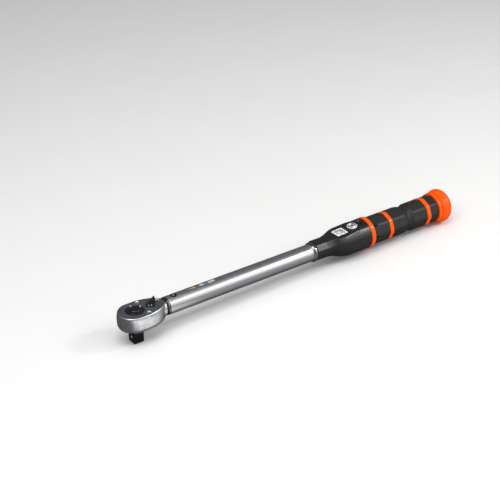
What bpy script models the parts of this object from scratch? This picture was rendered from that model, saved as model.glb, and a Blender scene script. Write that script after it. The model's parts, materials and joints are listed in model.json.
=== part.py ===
"""Click-type torque wrench with a reversible ratchet head, 12.7 mm square drive.

Frame: the origin is the centre of the square drive's end face, +Z points up through the
ratchet head, and +X runs along the tube to the setting knob.  Lengths in this file are in
millimetres; the helpers turn them into metres when they make geometry.
"""
import math

import bmesh
import bpy
from mathutils import Euler, Matrix, Vector

MM = 0.001
GAP = 0.3                      # clearance between neighbouring pieces

# ---- driving dimensions -------------------------------------------------------------
AXIS_Z = 30.0                  # height of the tube's axis above the drive's end face
SQUARE = 12.7                  # drive square, across flats

TUBE_R, TUBE_WALL = 10.5, 1.8
TUBE_BORE_R = TUBE_R - TUBE_WALL
TUBE_X = (39.9, 426.0)

PLATE_TOP = 9.1                # cover plate, above the tube's axis
PLATE_THICK = 2.0
PLATE_R = 16.3                 # round front end of the cover plate
PLATE_CENTRE_X = -1.9
PLATE_TAPER_X = 5.0            # where the straight sides turn into the half ellipse
PLATE_TAPER_LENGTH = 31.0
HEAD_RIM = 2.0                 # width of the rim round the cover plate
HEAD_BOTTOM = -11.6
BOSS_R, BOSS_BOTTOM = 13.0, -13.9

WHEEL_R, WHEEL_TEETH, TOOTH_DEPTH = 12.9, 32, 1.2
WHEEL_Z = (-9.2, 6.8)
CAVITY_R = 13.3
DRIVE_BOSS_R = 10.5
DRIVE_SHAFT_R = 9.0
BUTTON_R = 6.5
BUTTON_TRAVEL = 2.5
BALL_R = 2.4
BALL_OUT = 0.8                 # how far the ball stands out of the square's flat

LEVER_X = 20.5                 # reverse lever's axis
LEVER_SHAFT_R = 2.6
PIVOT_X = 49.0                 # pin that the head swings on when the wrench clicks
PIN_R = 3.6
NECK_R = 10.3
SHANK_R, TAIL_R = 8.1, 5.2
NECK_END_X = 36.2
BLOCK_FRONT_X, BLOCK_REAR_X = 109.0, 118.0
BLOCK_R = 3.2

SPRING_WIRE_R, SPRING_R, SPRING_TURNS = 1.45, 6.5, 13
PLUNGER_X = (118.4, 146.0)
NUT_X = (270.0, 290.0)
SCREW_R = 4.6
SCREW_X = (250.0, 396.0)
STRIP_Z = (10.8, 11.2)
PLUG_X = (405.0, 424.0)
BEARING_BALLS = 8

NOSE_X = 241.5                 # front end of the window housing
NOSE_RING_LENGTH = 4.3
HOUSING_END_X = 318.1
RING_FRONT_X = (318.4, 323.8)
RING_MIDDLE_X = (348.6, 353.8)
RING_REAR_X = (408.6, 414.0)
GRIP_END_X = 427.2
GRIP_R, GRIP_FLAT = 17.3, 16.5  # round radius, and distance from axis to each flat
WAIST_X, WAIST_R = 381.0, 14.8
CORE_R = 13.4
COLLAR_X = (427.5, 431.3)
KNOB_X = (432.2, 448.5)
KNOB_R = 21.0
HUB_X = (427.5, 441.0)
HUB_R = 7.5
HEX_ROLL = 10.0                # how far the hub's hexagon is turned about X
WINDOW_X, WINDOW_HALF_Y = (274.5, 290.2), 7.3
WINDOW_TILT = math.radians(3.6)
EMBLEM_X, EMBLEM_R = 301.2, 6.2
EMBLEM_TILT = math.radians(4.5)

# ---- finishes: colour, roughness, metallic ------------------------------------------
SATIN_CHROME = ((0.62, 0.63, 0.64), 0.28, 1.0)
SLATE_STEEL = ((0.075, 0.085, 0.095), 0.42, 0.6)
BLACK_STEEL = ((0.015, 0.015, 0.016), 0.38, 0.7)
BRIGHT_STEEL = ((0.55, 0.55, 0.56), 0.25, 1.0)
SPRING_STEEL = ((0.22, 0.23, 0.25), 0.35, 1.0)
BRASS = ((0.55, 0.38, 0.14), 0.35, 1.0)
BLACK_PLASTIC = ((0.020, 0.020, 0.021), 0.45, 0.0)
BLACK_RUBBER = ((0.028, 0.028, 0.027), 0.75, 0.0)
ORANGE_PLASTIC = ((0.95, 0.13, 0.015), 0.35, 0.0)
CLEAR_PLASTIC = ((0.80, 0.84, 0.85), 0.05, 0.0)
WHITE_PLASTIC = ((0.82, 0.82, 0.80), 0.40, 0.0)

ALONG_X = (0, math.pi / 2, 0)  # turns a piece's local Z axis to +X
ALONG_Z = (0, 0, 0)
ALONG_Y = (-math.pi / 2, 0, 0)


def empty_scene():
    for thing in list(bpy.data.objects):
        bpy.data.objects.remove(thing, do_unlink=True)


def new_collection(name):
    collection = bpy.data.collections.new(name)
    bpy.context.scene.collection.children.link(collection)
    return collection


empty_scene()
PARTS = new_collection("torque_wrench")
TOOLS = new_collection("cutters")


def own_material(name, finish):
    colour, roughness, metallic = finish
    material = bpy.data.materials.new(name)
    material.use_nodes = True
    shader = material.node_tree.nodes["Principled BSDF"]
    shader.inputs["Base Color"].default_value = (*colour, 1.0)
    shader.inputs["Roughness"].default_value = roughness
    shader.inputs["Metallic"].default_value = metallic
    material.diffuse_color = (*colour, 1.0)
    return material


def from_bmesh(name, bm):
    """A new object, not yet placed, that holds bm's mesh."""
    mesh = bpy.data.meshes.new(name)
    bm.to_mesh(mesh)
    bm.free()
    thing = bpy.data.objects.new(name, mesh)
    return thing


def rolled(thing, degrees):
    """Turn thing's mesh about its own Z axis."""
    thing.data.transform(Matrix.Rotation(math.radians(degrees), 4, "Z"))
    return thing


def put(thing, at, turn=ALONG_Z):
    """Place thing; at is measured from the tube's axis above the drive's centre."""
    thing.location = Vector((at[0], at[1], at[2] + AXIS_Z)) * MM
    thing.rotation_euler = Euler(turn)
    return thing


def part(thing, finish, carrier=None):
    """Make thing one of the wrench's parts, riding on its joint's empty if it has one."""
    PARTS.objects.link(thing)
    thing.data.materials.append(own_material(thing.name, finish))
    thing.data.shade_smooth()
    thing.data.set_sharp_from_angle(angle=math.radians(35))
    if carrier is not None:
        thing.parent = carrier
        thing.matrix_parent_inverse = Matrix.Translation(-carrier.location)
    return thing


def tool(thing):
    """Make thing a shape that only cuts or joins others."""
    TOOLS.objects.link(thing)
    thing.hide_render = True
    thing.display_type = "WIRE"
    return thing


def carrier(name, at):
    """An empty on a joint's axis, which the moving pieces are parented to."""
    empty = bpy.data.objects.new(name, None)
    empty.empty_display_size = 0.01
    PARTS.objects.link(empty)
    return put(empty, at)


def combine(thing, other, operation):
    boolean = thing.modifiers.new(f"{operation.lower()}_{other.name}", "BOOLEAN")
    boolean.operation = operation
    boolean.object = other
    return thing


def cut(thing, *cutters):
    for cutter in cutters:
        combine(thing, tool(cutter), "DIFFERENCE")
    return thing


def join(thing, *additions):
    for addition in additions:
        combine(thing, tool(addition), "UNION")
    return thing


# ---- basic shapes ---------------------------------------------------------------------
def cylinder(name, radius, length, segments=32, top_radius=None):
    """A cylinder or cone that stands on z = 0 and rises along its local Z axis."""
    bm = bmesh.new()
    bmesh.ops.create_cone(
        bm, cap_ends=True, segments=segments, radius1=radius * MM,
        radius2=(radius if top_radius is None else top_radius) * MM, depth=length * MM,
        matrix=Matrix.Translation((0, 0, length / 2 * MM)))
    return from_bmesh(name, bm)


def ball(name, radius, segments=16):
    bm = bmesh.new()
    bmesh.ops.create_uvsphere(bm, u_segments=segments, v_segments=segments // 2, radius=radius * MM)
    return from_bmesh(name, bm)


def box(name, size):
    bm = bmesh.new()
    bmesh.ops.create_cube(bm, size=1.0, matrix=Matrix.Diagonal((*(Vector(size) * MM), 1.0)))
    return from_bmesh(name, bm)


def turned(name, profile, steps=32):
    """Sweep a profile of (height, radius) about the local Z axis.

    The profile starts at its highest point and runs down the outer side.  One that starts
    and ends on the axis makes a solid piece, and any other is closed into a ring.
    """
    bm = bmesh.new()
    points = [bm.verts.new((radius * MM, 0, height * MM)) for height, radius in profile]
    for start, end in zip(points, points[1:]):
        bm.edges.new((start, end))
    if profile[0][1] > 0:
        bm.edges.new((points[-1], points[0]))
    thing = from_bmesh(name, bm)
    screw = thing.modifiers.new("turn", "SCREW")
    screw.steps = steps
    screw.render_steps = steps
    screw.use_merge_vertices = True
    screw.merge_threshold = 0.00001
    return thing


def ring(name, outer, inner, length, steps=48, chamfer=0.0):
    """A plain ring that stands on z = 0, with both outer edges chamfered if asked."""
    if chamfer:
        outside = [(length, outer - chamfer), (length - chamfer, outer),
                   (chamfer, outer), (0, outer - chamfer)]
    else:
        outside = [(length, outer), (0, outer)]
    return turned(name, [(length, inner)] + outside + [(0, inner)], steps)


def curve_mesh(name, curve):
    """The closed mesh of a curve, with its loose caps welded; the curve is removed."""
    guide = bpy.data.objects.new(name + "_guide", curve)
    bpy.context.scene.collection.objects.link(guide)
    evaluated = guide.evaluated_get(bpy.context.evaluated_depsgraph_get())
    mesh = bpy.data.meshes.new_from_object(evaluated)
    bm = bmesh.new()
    bm.from_mesh(mesh)
    bmesh.ops.remove_doubles(bm, verts=bm.verts, dist=0.000001)
    bmesh.ops.recalc_face_normals(bm, faces=bm.faces)
    if curve.dimensions == "2D":
        bmesh.ops.dissolve_limit(bm, angle_limit=0.01, verts=[], edges=bm.edges)
    bpy.data.objects.remove(guide, do_unlink=True)
    bpy.data.curves.remove(curve)
    bpy.data.meshes.remove(mesh)
    return from_bmesh(name, bm)


def slab(name, outline, thickness):
    """A flat plate of the given outline, from z = 0 up to its thickness."""
    curve = bpy.data.curves.new(name, "CURVE")
    curve.dimensions = "2D"
    curve.fill_mode = "BOTH"
    curve.extrude = thickness / 2 * MM
    spline = curve.splines.new("POLY")
    spline.points.add(len(outline) - 1)
    for point, (x, y) in zip(spline.points, outline):
        point.co = (x * MM, y * MM, 0, 1)
    spline.use_cyclic_u = True
    plate = curve_mesh(name, curve)
    plate.data.transform(Matrix.Translation((0, 0, thickness / 2 * MM)))
    return plate


def coil(name, radius, wire, length, turns, points_per_turn=10):
    """A coil spring of round wire that runs up its local Z axis from z = 0 to its length."""
    curve = bpy.data.curves.new(name, "CURVE")
    curve.dimensions = "3D"
    curve.bevel_depth = wire * MM
    curve.bevel_resolution = 1
    curve.use_fill_caps = True
    spline = curve.splines.new("POLY")
    count = turns * points_per_turn + 1
    spline.points.add(count - 1)
    for index, point in enumerate(spline.points):
        angle = 2 * math.pi * index / points_per_turn
        height = wire + (length - 2 * wire) * index / (count - 1)
        point.co = (radius * math.cos(angle) * MM, radius * math.sin(angle) * MM, height * MM, 1)
    return curve_mesh(name, curve)


def arc(centre, radius, start, end, count):
    """Points along an arc, angles in degrees, both ends included."""
    points = []
    for index in range(count + 1):
        angle = math.radians(start + (end - start) * index / count)
        points.append((centre[0] + radius * math.cos(angle), centre[1] + radius * math.sin(angle)))
    return points


def pear(offset, front_count=14, rear_count=14):
    """The head's outline: a half circle, straight sides, and a half ellipse to the neck."""
    radius = PLATE_R + offset
    length = PLATE_TAPER_LENGTH + offset * 0.2
    front = arc((PLATE_CENTRE_X, 0), radius, 90, 270, front_count)
    rear = []
    for index in range(rear_count + 1):
        angle = math.radians(-90 + 180 * index / rear_count)
        rear.append((PLATE_TAPER_X + length * math.cos(angle), radius * math.sin(angle)))
    return front + rear


# ---- joints' empties ------------------------------------------------------------------
HEAD = carrier("head_pivot", (PIVOT_X, 0, 0))
DRIVE = carrier("drive_axis", (0, 0, 0))
BUTTON = carrier("button_slide", (0, 0, PLATE_TOP))
DETENT = carrier("ball_slide", (-SQUARE / 2, 0, -23.0))
LEVER = carrier("lever_axis", (LEVER_X, 0, PLATE_TOP))
PAWL = carrier("pawl_axis", (LEVER_X, 0, 0))
BLOCK = carrier("block_axis", (BLOCK_REAR_X, 0, 0))
PLUNGER = carrier("plunger_slide", (PLUNGER_X[0], 0, 0))
SCREW = carrier("screw_axis", (SCREW_X[1], 0, 0))
CAGE = carrier("cage_axis", (402.0, 0, 0))
NUT = carrier("nut_slide", (NUT_X[0], 0, 0))
KNOB = carrier("knob_slide", (KNOB_X[0], 0, 0))


# ---- ratchet head ---------------------------------------------------------------------
COVER_SCREWS = ((10.5, 12.4), (11.0, -12.3), (31.2, 4.5))
COVER_SCREW_R = 2.2
PLATE_BOTTOM = PLATE_TOP - PLATE_THICK


def weight_edges(thing, low_weight, high_weight, middle):
    """Bevel weights for the edges of a plate's underside and of its top."""
    weights = thing.data.attributes.new("bevel_weight_edge", "FLOAT", "EDGE")
    for edge in thing.data.edges:
        heights = [thing.data.vertices[index].co.z / MM for index in edge.vertices]
        if max(heights) < middle:
            weights.data[edge.index].value = low_weight
        elif min(heights) > middle:
            weights.data[edge.index].value = high_weight


def ratchet_head():
    height = PLATE_TOP - HEAD_BOTTOM
    head = put(slab("ratchet_head", pear(HEAD_RIM), height), (0, 0, HEAD_BOTTOM))
    weight_edges(head, 1.0, 0.12, height / 2)
    bevel = head.modifiers.new("round_edges", "BEVEL")
    bevel.limit_method = "WEIGHT"
    bevel.width = 6.5 * MM
    bevel.segments = 3
    neck_profile = [(BLOCK_FRONT_X - 0.4, 0), (BLOCK_FRONT_X - 0.4, TAIL_R), (62, TAIL_R), (58, SHANK_R),
                    (NECK_END_X, SHANK_R), (NECK_END_X, NECK_R - 0.5), (NECK_END_X - 0.5, NECK_R),
                    (28, NECK_R), (24, 7.0), (24, 0)]
    join(head,
         put(turned("neck", neck_profile, 28), (0, 0, 0), ALONG_X),
         put(cylinder("bottom_boss", BOSS_R - 1.2, 4.0, 36, BOSS_R), (0, 0, BOSS_BOTTOM)))
    cut(head,
        put(slab("plate_seat", pear(0), 6), (0, 0, PLATE_BOTTOM)),
        put(cylinder("wheel_cavity", CAVITY_R, 20, 40), (0, 0, WHEEL_Z[0] - GAP)),
        put(cylinder("pawl_chamber", 8.6, 20, 24), (18.5, 0, WHEEL_Z[0] - GAP)),
        put(cylinder("drive_bore", DRIVE_SHAFT_R + GAP, 10), (0, 0, -16)),
        put(cylinder("lever_seat", LEVER_SHAFT_R + GAP, 4, 24), (LEVER_X, 0, -10.8)),
        put(cylinder("plunger_bore", 1.9, 13, 16), (24, 0, -1), ALONG_X),
        put(cylinder("pivot_bore", PIN_R + GAP, 24), (PIVOT_X, 0, -12)),
        put(cylinder("block_groove", BLOCK_R + 0.35, 14, 24), (BLOCK_FRONT_X, 0, -7)))
    for index, (x, y) in enumerate(COVER_SCREWS, 1):
        cut(head, put(cylinder(f"screw_bore_{index}", 1.3, 8, 12), (x, y, PLATE_BOTTOM - 6.7)))
    part(head, SATIN_CHROME, HEAD)


def cover_plate():
    plate = put(slab("cover_plate", pear(-GAP), PLATE_THICK - GAP), (0, 0, PLATE_BOTTOM + GAP))
    cut(plate,
        put(cylinder("boss_hole", DRIVE_BOSS_R + GAP, 6, 36), (0, 0, 5)),
        put(cylinder("lever_hole", LEVER_SHAFT_R + GAP, 6, 24), (LEVER_X, 0, 5)))
    for index, (x, y) in enumerate(COVER_SCREWS, 1):
        cut(plate, put(cylinder(f"plate_hole_{index}", COVER_SCREW_R + GAP, 6, 16), (x, y, 5)))
    part(plate, SLATE_STEEL, HEAD)


def cover_screw(index, x, y):
    """A flat-headed screw with a hexagon socket."""
    radius = COVER_SCREW_R
    profile = [(8.1, 0), (8.1, radius), (6.9, radius), (6.5, 1.0), (0, 1.0), (0, 0)]
    screw = put(turned(f"cover_screw_{index}", profile, 14), (x, y, PLATE_TOP - 8.2))
    cut(screw, put(cylinder(f"socket_{index}", 1.15, 2, 6), (x, y, PLATE_TOP - 1.1)))
    part(screw, BRIGHT_STEEL, HEAD)


def gear_outline():
    """Symmetric ratchet teeth, which the pawl can hold in either direction."""
    root = WHEEL_R - TOOTH_DEPTH
    points = []
    for tooth in range(WHEEL_TEETH):
        for share, radius in ((0.0, root), (0.35, WHEEL_R), (0.65, WHEEL_R)):
            angle = 2 * math.pi * (tooth + share) / WHEEL_TEETH
            points.append((radius * math.cos(angle), radius * math.sin(angle)))
    return points


def square_drive():
    wheel = put(slab("square_drive", gear_outline(), WHEEL_Z[1] - WHEEL_Z[0]), (0, 0, WHEEL_Z[0]))
    core_profile = [(PLATE_TOP, 0), (PLATE_TOP, 8.0), (PLATE_TOP - 0.3, 8.3), (7.9, 8.3),
                    (7.9, DRIVE_BOSS_R), (0, DRIVE_BOSS_R), (0, DRIVE_SHAFT_R),
                    (-14.6, DRIVE_SHAFT_R), (-15.2, 8.2), (-15.2, 0)]
    square = box("square", (SQUARE, SQUARE, 18.0))
    edges = square.modifiers.new("chamfer", "BEVEL")
    edges.width = 0.9 * MM
    edges.segments = 1
    join(wheel,
         put(turned("drive_core", core_profile, 36), (0, 0, 0)),
         put(square, (0, 0, 9.0 - AXIS_Z)))
    cut(wheel,
        put(cylinder("button_well", BUTTON_R + 0.35, 12, 32), (0, 0, 0.3)),
        put(cylinder("rod_bore", 2.35, 40, 20), (0, 0, -28.2)),
        put(cylinder("ball_bore", BALL_R + GAP, 10, 20), (0, 0, -23), (0, -math.pi / 2, 0)))
    part(wheel, BLACK_STEEL, DRIVE)
    gap_centre, gap_half = 53.0, 33.0
    outer = arc((0, 0), 10.35, gap_centre + gap_half, gap_centre - gap_half + 360, 30)
    inner = arc((0, 0), 8.65, gap_centre - gap_half + 360, gap_centre + gap_half, 30)
    part(put(slab("drive_circlip", outer + inner, 0.9), (0, 0, 8.2)), SPRING_STEEL, DRIVE)


def release_button():
    """Domed push button on a rod whose groove lets the ball sink into the square."""
    groove = -23.0 + BUTTON_TRAVEL
    profile = [(11.7, 0), (11.6, 4.0), (11.3, 5.4), (10.4, BUTTON_R), (5.6, BUTTON_R), (5.6, 2.0),
               (groove + 1.9, 2.0), (groove + 0.7, 1.1), (groove - 0.7, 1.1), (groove - 1.9, 2.0),
               (-25.6, 2.0), (-25.6, 0)]
    part(put(turned("release_button", profile, 20), (0, 0, 0)), BLACK_STEEL, BUTTON)
    spring = coil("button_spring", 3.7, 0.4, 4.7, 3)
    part(put(spring, (0, 0, 0.6)), SPRING_STEEL, DRIVE)
    centre = SQUARE / 2 + BALL_OUT - BALL_R
    part(put(ball("retaining_ball", BALL_R), (-centre, 0, -23)), BRIGHT_STEEL, DETENT)


def reverse_lever():
    """Thumb lever: a wedge that rises from its ribbed end to a raised tip."""
    ribbed_left, ribbed_right = (-7.7, -2.6), (0.2, -6.9)
    tip_right, tip_left = (7.4, 4.6), (6.4, 5.5)
    shoulder = (-6.0, 2.4)
    outline = [ribbed_left, ribbed_right, (2.4, -4.6), tip_right, tip_left, shoulder]
    lever = put(slab("reverse_lever", outline, 5.0), (LEVER_X, 0, PLATE_TOP + GAP))
    join(lever, put(cylinder("lever_shaft", LEVER_SHAFT_R, 21.0, 20), (LEVER_X, 0, -10.2)))
    slope = put(box("lever_slope", (30, 30, 10)), (LEVER_X, 0, PLATE_TOP + 9.3))
    slope.rotation_euler = Euler((math.radians(9), math.radians(-7), 0))
    cut(lever, slope)
    face = Vector(ribbed_right) - Vector(ribbed_left)
    for index, share in enumerate((0.33, 0.67), 1):
        middle = Vector(ribbed_left) + face * share
        notch = box(f"rib_gap_{index}", (1.5, 2.0, 3.0))
        turn = math.atan2(face.y, face.x)
        put(notch, (LEVER_X + middle.x, middle.y, PLATE_TOP + 2.4), (0, 0, turn))
        cut(lever, notch)
    part(lever, BLACK_STEEL, LEVER)


def pawl():
    """Rocking pawl on the lever's shaft, drawn clear of the wheel's teeth."""
    face_r, half = 13.6, 5.5
    swing = math.degrees(math.asin(half / face_r))
    front = [(x - LEVER_X, y) for x, y in arc((0, 0), face_r, swing, -swing, 8)]
    back = arc((0, 0), 4.5, -75, 75, 10)
    rocker = put(slab("pawl", front + back, 14.6), (LEVER_X, 0, -8.6), (0, 0, math.radians(3.5)))
    cut(rocker, put(cylinder("pawl_bore", LEVER_SHAFT_R + GAP, 24, 24), (LEVER_X, 0, -12)))
    part(rocker, BRIGHT_STEEL, PAWL)
    nose = [(4.2, 0), (4.2, 1.5), (0.8, 1.5), (0, 0.8), (0, 0)]
    part(put(turned("pawl_plunger", nose, 16), (25.4, 0, -1), ALONG_X), BRIGHT_STEEL, HEAD)
    spring = coil("pawl_spring", 1.15, 0.3, 6.2, 5, 8)
    part(put(spring, (30.0, 0, -1), ALONG_X), SPRING_STEEL, HEAD)


# ---- neck and click mechanism ---------------------------------------------------------
def neck_rings():
    for name, start, end, outer, finish in (
            ("neck_seal_front", 36.9, 37.9, 10.15, BLACK_RUBBER),
            ("neck_washer", 38.2, 38.7, 10.45, BRIGHT_STEEL),
            ("neck_seal_rear", 39.0, 39.6, 10.15, BLACK_RUBBER)):
        seal = ring(name, outer, TUBE_BORE_R, end - start, 32)
        part(put(seal, (start, 0, 0), ALONG_X), finish)
    profile = [(20.9, 0), (20.9, PIN_R - 0.5), (20.4, PIN_R), (0.5, PIN_R), (0, PIN_R - 0.5), (0, 0)]
    part(put(turned("pivot_pin", profile, 24), (PIVOT_X, 0, -10.45)), BLACK_STEEL)


def click_mechanism():
    waist = 2.4
    lean = math.degrees(math.asin(waist / BLOCK_R))
    length = BLOCK_REAR_X - BLOCK_FRONT_X
    outline = arc((0, 0), BLOCK_R, 180 - lean, lean - 180, 14)
    outline = arc((-length, 0), BLOCK_R, lean, 360 - lean, 14) + arc((0, 0), BLOCK_R, lean - 180, 180 - lean, 14)
    part(put(slab("click_block", outline, 9.0), (BLOCK_REAR_X, 0, -4.5)), BRIGHT_STEEL, BLOCK)

    start, end = PLUNGER_X
    piston_r = TUBE_BORE_R - 0.35
    profile = [(end + 6, 0), (end + 6, 4.4), (end, 4.4), (end, piston_r), (137.5, piston_r), (137.5, 7.6),
               (126.5, 7.6), (126.5, piston_r), (start, piston_r), (start, 0)]
    plunger = put(turned("plunger", profile, 28), (0, 0, 0), ALONG_X)
    cut(plunger, put(cylinder("plunger_groove", BLOCK_R + 0.35, 20, 24), (BLOCK_REAR_X, 0, -10)))
    part(plunger, BRIGHT_STEEL, PLUNGER)

    spring_start, spring_end = end + GAP, NUT_X[0] - GAP
    spring = coil("main_spring", SPRING_R, SPRING_WIRE_R, spring_end - spring_start, SPRING_TURNS)
    part(put(spring, (spring_start, 0, 0), ALONG_X), SPRING_STEEL)


def setting_screw():
    start, end = SCREW_X
    profile = [(HUB_X[1] + 2.0, 0), (HUB_X[1] + 2.0, 3.8), (HUB_X[1] + 1.5, 4.3), (end + 3.1, 4.3),
               (end + 3.1, 7.6), (end, 7.6), (end, SCREW_R), (start + 1.0, SCREW_R),
               (start, SCREW_R - 1.0), (start, 0)]
    shaft = put(turned("setting_screw", profile, 24), (0, 0, 0), ALONG_X)
    cut(shaft, put(cylinder("hub_pin_bore", 1.3 + GAP, 30, 16), (432.0, 0, -15)))
    part(shaft, BRIGHT_STEEL, SCREW)

    nut = put(cylinder("load_nut", TUBE_BORE_R - 0.35, NUT_X[1] - NUT_X[0]), (NUT_X[0], 0, 0), ALONG_X)
    join(nut, put(box("nut_key", (8.0, 4.0, 6.0)), (280.0, 0, 7.5)))
    cut(nut, put(cylinder("nut_bore", SCREW_R + GAP, 40, 24), (260, 0, 0), ALONG_X))
    part(nut, BRASS, NUT)
    strip = box("scale_strip", (42.0, 11.0, STRIP_Z[1] - STRIP_Z[0]))
    part(put(strip, (295.3, 0, sum(STRIP_Z) / 2)), WHITE_PLASTIC, NUT)


def thrust_bearing():
    race_r, race_bore = 8.2, 4.6
    part(put(ring("bearing_race_front", race_r, race_bore, 1.2, 28), (399.4, 0, 0), ALONG_X),
         BRIGHT_STEEL, SCREW)
    part(put(ring("bearing_race_rear", race_r, race_bore, 1.2, 28), (403.5, 0, 0), ALONG_X),
         BRIGHT_STEEL)
    cage = put(ring("bearing_cage", 7.9, 4.9, 1.0, 24), (401.55, 0, 0), ALONG_X)
    for index in range(BEARING_BALLS):
        angle = 2 * math.pi * index / BEARING_BALLS
        at = (402.05, 6.4 * math.cos(angle), 6.4 * math.sin(angle))
        join(cage, put(ball(f"bearing_ball_{index + 1}", 1.1, 6), at, ALONG_X))
    part(cage, BRASS, CAGE)

    plug = put(ring("end_plug", TUBE_BORE_R - 0.35, 4.6, PLUG_X[1] - PLUG_X[0], 28),
               (PLUG_X[0], 0, 0), ALONG_X)
    cut(plug, put(cylinder("dowel_seat", 1.5 + GAP, 10, 16), (416, -5.4, 0), (math.pi / 2, 0, 0)))
    part(plug, BRIGHT_STEEL)
    part(put(cylinder("plug_pin", 1.5, 4.6, 16), (416, -5.7, 0), (math.pi / 2, 0, 0)), BLACK_STEEL)


def tube():
    pipe = put(ring("tube", TUBE_R, TUBE_BORE_R, TUBE_X[1] - TUBE_X[0], 40),
               (TUBE_X[0], 0, 0), ALONG_X)
    cut(pipe,
        put(cylinder("pin_holes", PIN_R + GAP, 30), (PIVOT_X, 0, -15)),
        put(box("key_slot", (34.0, 4.8, 8.0)), (269.0, 0, 11.0)),
        put(cylinder("dowel_hole", 1.5 + GAP, 8, 16), (416, -6, 0), (math.pi / 2, 0, 0)))
    part(pipe, SATIN_CHROME)


# ---- window housing -------------------------------------------------------------------
def flare_profile():
    """Housing radius along X: a slim nose that swells in an S curve to the front ring."""
    slim, full = 12.6, 18.8
    start, end = 257.0, 290.0
    count = 6
    points = [(HOUSING_END_X, 18.9), (306.0, full + 0.05)]
    for index in range(count + 1):
        share = 1 - index / count
        smooth = share * share * (3 - 2 * share)
        points.append((start + (end - start) * share, slim + (full - slim) * smooth))
    points += [(NOSE_X + 0.6, slim), (NOSE_X, slim - 0.4)]
    return points


def deck_outline():
    """Side view of what is cut from the housing's top: a rising deck and its end wall."""
    deck = [(236, 11.9), (259, 12.2), (267, 12.7), (275, 13.2), (284, 13.75), (293, 14.4), (302.5, 15.2),
            (309, 15.75)]
    wall = [(311, 16.1), (312.6, 16.9), (313.8, 18.3), (314.4, 20.0), (314.4, 30.0)]
    return deck + wall + [(236, 30.0)]


def housing():
    bore = TUBE_R + GAP
    profile = [(HOUSING_END_X, bore)] + flare_profile() + [(NOSE_X, bore)]
    shell = put(turned("housing", profile, 36), (0, 0, 0), ALONG_X)
    deck = put(slab("deck", deck_outline(), 60), (0, 30, 0), (math.pi / 2, 0, 0))
    cut(shell, deck)
    for side, name in ((1, "left"), (-1, "right")):
        lean, yaw = math.radians(-45) * side, math.radians(19.7) * side
        cut(shell,
            put(box(f"facet_{name}", (24, 40, 10)), (244.5, side * 12.16, 12.16), (lean, 0, 0)),
            put(box(f"run_out_{name}", (26, 40, 10)), (267.1, side * 16.34, 12.17), (lean, 0, yaw)))
    middle = sum(WINDOW_X) / 2
    length = WINDOW_X[1] - WINDOW_X[0]
    width = 2 * WINDOW_HALF_Y
    tilt = (0, -WINDOW_TILT, 0)
    cut(shell,
        put(box("strip_channel", (66.5, 12.0, 8.0)), (283.9, 0, 7.5)),
        put(box("window_opening", (length - 2.0, width - 2.4, 6.0)), (middle, 0, 13.2)),
        put(box("lens_seat", (length + 2 * GAP, width + 2 * GAP, 4.0)), (middle, 0, 14.65), tilt),
        put(cylinder("emblem_seat", EMBLEM_R + GAP, 4.0, 32), (EMBLEM_X, 0, 13.8), (0, -EMBLEM_TILT, 0)))
    part(shell, BLACK_PLASTIC)
    part(put(box("window_lens", (length, width, 0.7)), (middle, 0, 13.35), tilt), CLEAR_PLASTIC)
    part(put(cylinder("lock_emblem", EMBLEM_R, 2.0), (EMBLEM_X, 0, 14.15), (0, -EMBLEM_TILT, 0)),
         WHITE_PLASTIC)
    length = NOSE_RING_LENGTH
    nose = turned("nose_ring", [(length, bore), (length, 12.0), (1.8, 12.0), (0, 11.2), (0, bore)], 36)
    part(put(nose, (NOSE_X - GAP - length, 0, 0), ALONG_X), BLACK_STEEL)


# ---- grip -----------------------------------------------------------------------------
def faceted(thing, flat):
    """Keep what lies inside an eight-sided bar, with a corner on top."""
    bar = cylinder(thing.name + "_bar", flat / math.cos(math.pi / 8), 140, 8)
    combine(thing, tool(put(bar, (310, 0, 0), ALONG_X)), "INTERSECT")
    return thing


def orange_ring(name, span, radius, bore, flat=None):
    band = put(ring(name, radius, bore, span[1] - span[0], 32), (span[0], 0, 0), ALONG_X)
    if flat:
        faceted(band, flat)
    part(band, ORANGE_PLASTIC)


def grip_piece(name, outside):
    """A rubber sleeve; outside is its (x, radius) line from its rear end to its front."""
    bore = CORE_R + GAP
    profile = [(outside[0][0], bore)] + outside + [(outside[-1][0], bore)]
    sleeve = put(turned(name, profile, 32), (0, 0, 0), ALONG_X)
    part(faceted(sleeve, GRIP_FLAT), BLACK_RUBBER)


def waist_line():
    """The middle sleeve's outer line, with its smooth concave waist."""
    half = 8.0
    points = []
    for index in range(7):
        share = 1 - index / 3
        depth = (GRIP_R - WAIST_R) * (0.5 + 0.5 * math.cos(math.pi * share))
        points.append((WAIST_X + half * share, GRIP_R - depth))
    return points


def grip():
    orange_ring("ring_front", RING_FRONT_X, 19.07, TUBE_R + GAP)
    orange_ring("ring_middle", RING_MIDDLE_X, 17.5, CORE_R + GAP, 16.9)
    orange_ring("ring_rear", RING_REAR_X, 17.7, CORE_R + GAP, 17.1)
    front, rear = RING_FRONT_X[1] + GAP, GRIP_END_X
    part(put(ring("grip_core", CORE_R, TUBE_R + GAP, rear - front, 32), (front, 0, 0), ALONG_X),
         BLACK_PLASTIC)
    grip_piece("grip_front", [(RING_MIDDLE_X[0] - GAP, GRIP_R), (334.0, GRIP_R), (328.0, 17.9), (front, 18.3)])
    grip_piece("grip_middle", [(RING_REAR_X[0] - GAP, GRIP_R)] + waist_line()
               + [(RING_MIDDLE_X[1] + GAP, GRIP_R)])
    grip_piece("grip_rear", [(rear, GRIP_R), (RING_REAR_X[1] + GAP, GRIP_R)])


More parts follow.
